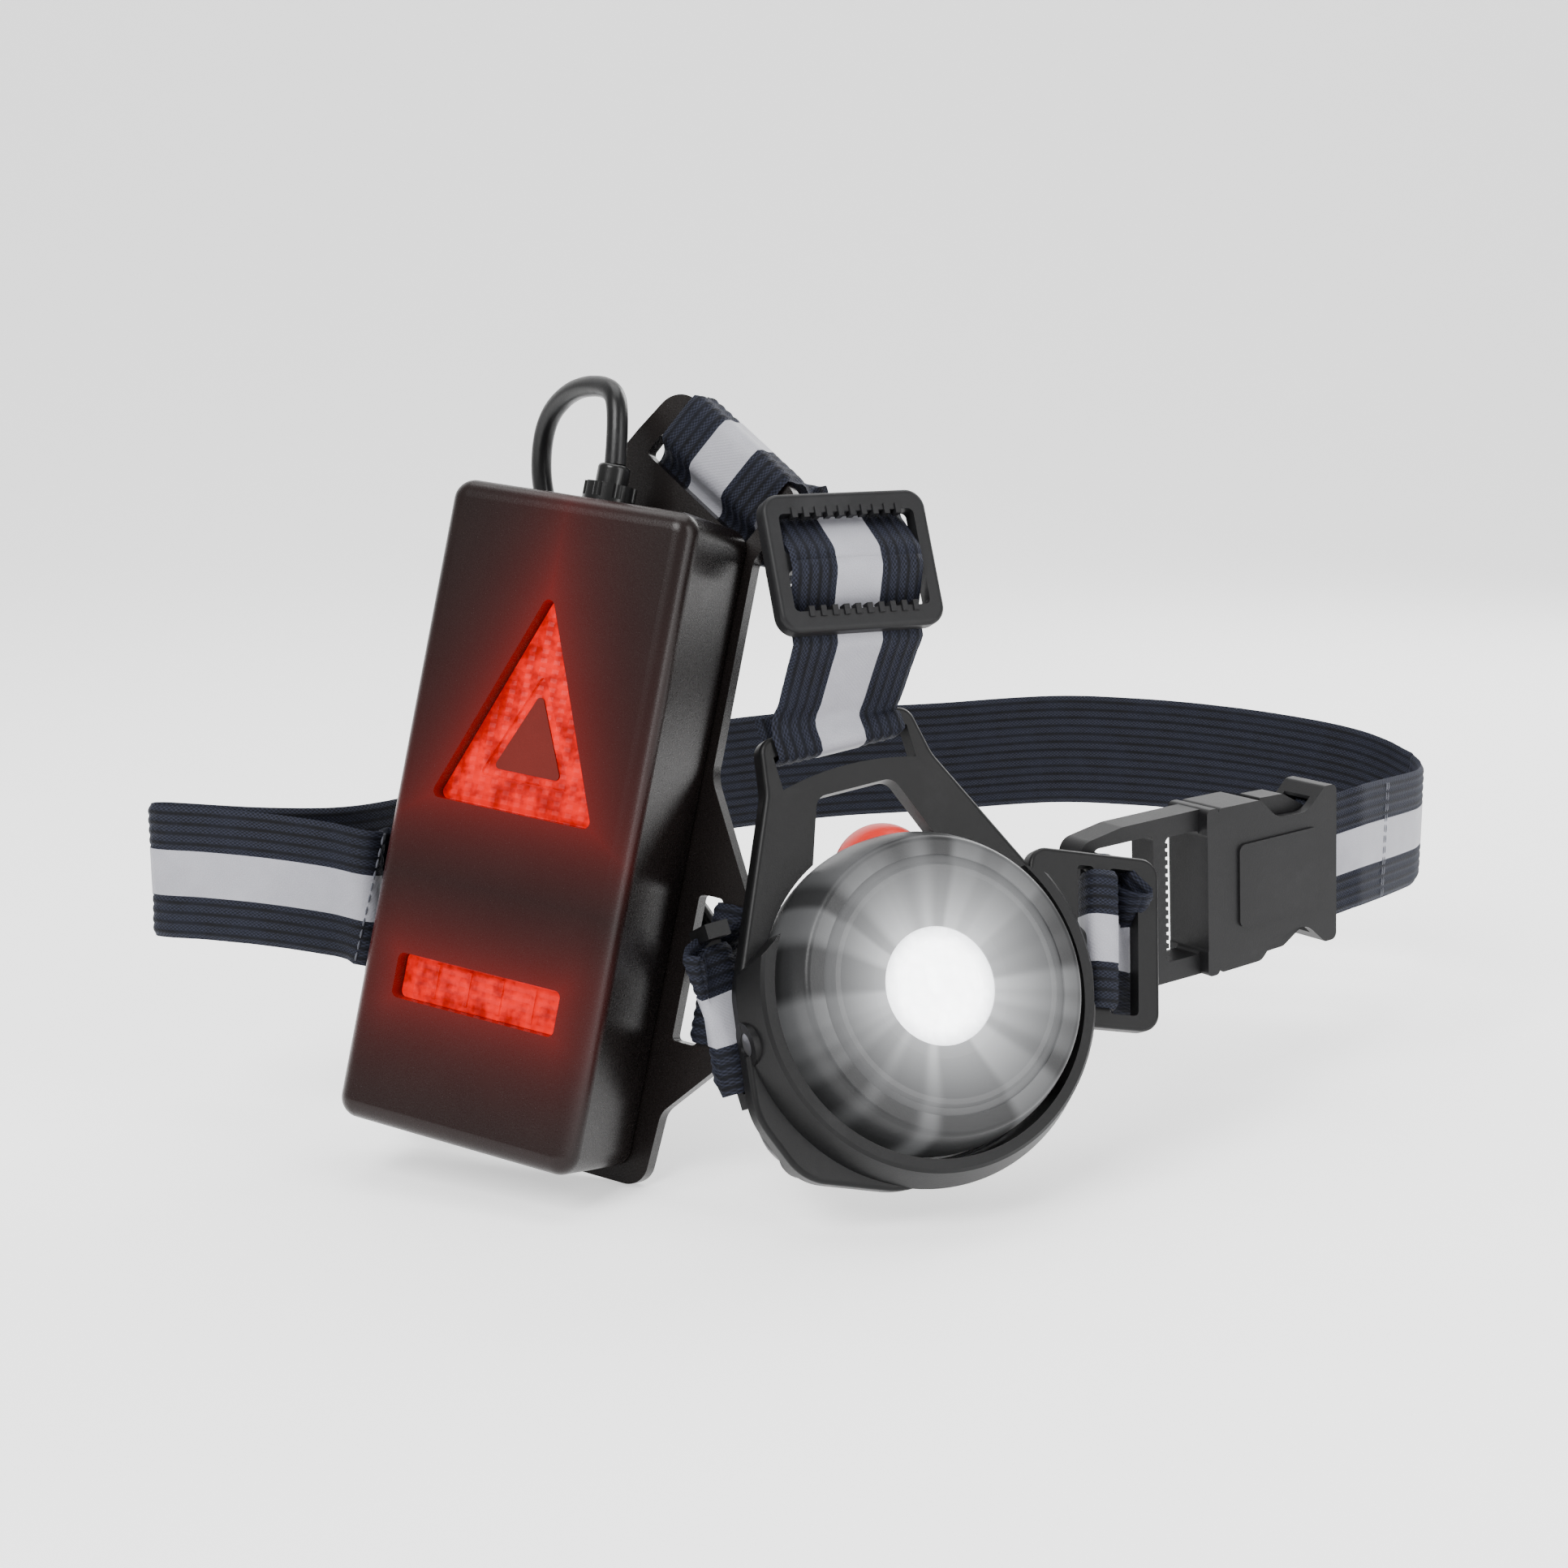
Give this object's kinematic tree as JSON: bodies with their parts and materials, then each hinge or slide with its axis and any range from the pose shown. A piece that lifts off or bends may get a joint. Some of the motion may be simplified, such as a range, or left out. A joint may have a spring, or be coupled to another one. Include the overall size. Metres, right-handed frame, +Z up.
{
  "type": "body-worn running light",
  "caption": "Chest-worn running light: tilting white lamp on a chest plate, battery pack with a red warning light, and an elastic harness with a side-release buckle.",
  "frame": {"origin": "wearer's axis: middle of the belt loop on the belt's mid-plane", "axes": "+Z up along the wearer, +X to the right seen from the front, -Y to the front, the way the lamp shines"},
  "size_m": [0.2565, 0.1734, 0.1418],
  "materials": {
    "pack_plastic": "satin",
    "plate_plastic": "satin",
    "head_plastic": "satin",
    "bezel_plastic": "satin",
    "insert_plastic": "fine",
    "gland_plastic": "polished",
    "buckle_plastic": "satin",
    "switch_plastic": "plain",
    "red_lens": "translucent",
    "clear_lens": "clear",
    "button_rubber": "satin",
    "seal_rubber": "matt",
    "circuit_board": "solder mask",
    "led_package": "plain",
    "cell_foil": "brushed",
    "foam": "matt",
    "pad_foam": "knit",
    "port_steel": "plain",
    "screw_steel": "plain",
    "reflector_chrome": "polished",
    "board_aluminium": "plain",
    "webbing": "ribbed elastic with a reflective stripe",
    "lead_jacket": "smooth"
  },
  "bodies": {
    "harness": {"back_pad": "pad_foam", "bar_lens": "red_lens", "battery_cell": "cell_foil", "battery_lead": "lead_jacket", "belt_end": "webbing", "belt_strap": "webbing", "buckle_frame": "buckle_plastic", "buckle_strap": "webbing", "cell_foam": "foam", "charge_board": "circuit_board", "chest_plate": "plate_plastic", "gland_base": "gland_plastic", "gland_nut": "gland_plastic", "lead_grommet": "seal_rubber", "link_strap": "webbing", "pack_carrier": "pack_plastic", "pack_cover": "pack_plastic", "pack_screws": "screw_steel", "pack_seal": "seal_rubber", "pivot_pins": "screw_steel", "rear_led_board": "circuit_board", "rear_leds": "led_package", "shoulder_strap_lower": "webbing", "shoulder_strap_upper": "webbing", "triangle_insert": "insert_plastic", "triangle_lens": "red_lens", "usb_port": "port_steel"},
    "lamp_head": {"head_shell": "head_plastic", "head_back": "head_plastic", "head_seal": "seal_rubber", "head_screws": "screw_steel", "bezel_ring": "bezel_plastic", "lamp_lens": "clear_lens", "reflector": "reflector_chrome", "white_led": "led_package", "led_board": "board_aluminium", "heat_sink": "board_aluminium", "driver_board": "circuit_board", "tact_switch": "switch_plastic"},
    "power_button": {"button_cap": "button_rubber"},
    "buckle_socket": {"buckle_socket": "buckle_plastic"},
    "prong_upper": {"buckle_prong_upper": "buckle_plastic"},
    "prong_lower": {"buckle_prong_lower": "buckle_plastic"},
    "strap_adjuster": {"tri_glide": "buckle_plastic"},
    "port_flap": {"usb_flap": "seal_rubber"}
  },
  "joints": [
    {"name": "lamp_tilt", "type": "hinge", "parent": "harness", "child": "lamp_head", "pos_m": [0.00815, -0.08472, -0.01459], "axis": [0.8891, 0.4344, 0.144], "range_deg": [-15, 60]},
    {"name": "button_press", "type": "slide", "parent": "lamp_head", "child": "power_button", "axis": [0.2922, -0.2967, -0.9092], "range_m": [0, 0.001], "stiffness_N_per_m": 400},
    {"name": "buckle_release", "type": "slide", "parent": "harness", "child": "buckle_socket", "axis": [0.8266, 0.5597, 0.0593], "range_m": [0, 0.03], "deforming": ["belt_end", "buckle_prong_upper", "buckle_prong_lower"]},
    {"name": "upper_prong_squeeze", "type": "hinge", "parent": "harness", "child": "prong_upper", "pos_m": [0.06712, -0.03303, 0.00268], "axis": [-0.5606, 0.8281, 0], "range_deg": [0, 6], "stiffness_Nm_per_rad": 0.06},
    {"name": "lower_prong_squeeze", "type": "hinge", "parent": "harness", "child": "prong_lower", "pos_m": [0.0681, -0.03236, -0.01728], "axis": [0.5606, -0.8281, 0], "range_deg": [0, 6], "stiffness_Nm_per_rad": 0.06},
    {"name": "strap_adjust", "type": "slide", "parent": "harness", "child": "strap_adjuster", "axis": [-0.1729, 0.3504, 0.9205], "range_m": [-0.016, 0.006], "deforming": ["shoulder_strap_lower", "shoulder_strap_upper"]},
    {"name": "port_flap_open", "type": "hinge", "parent": "harness", "child": "port_flap", "pos_m": [-0.06996, -0.07968, -0.04251], "axis": [-0.893, 0.4387, 0.1], "range_deg": [0, 90]}
  ],
  "couplings": [
    {"joint": "lower_prong_squeeze", "follows": "upper_prong_squeeze", "ratio": 1}
  ]
}
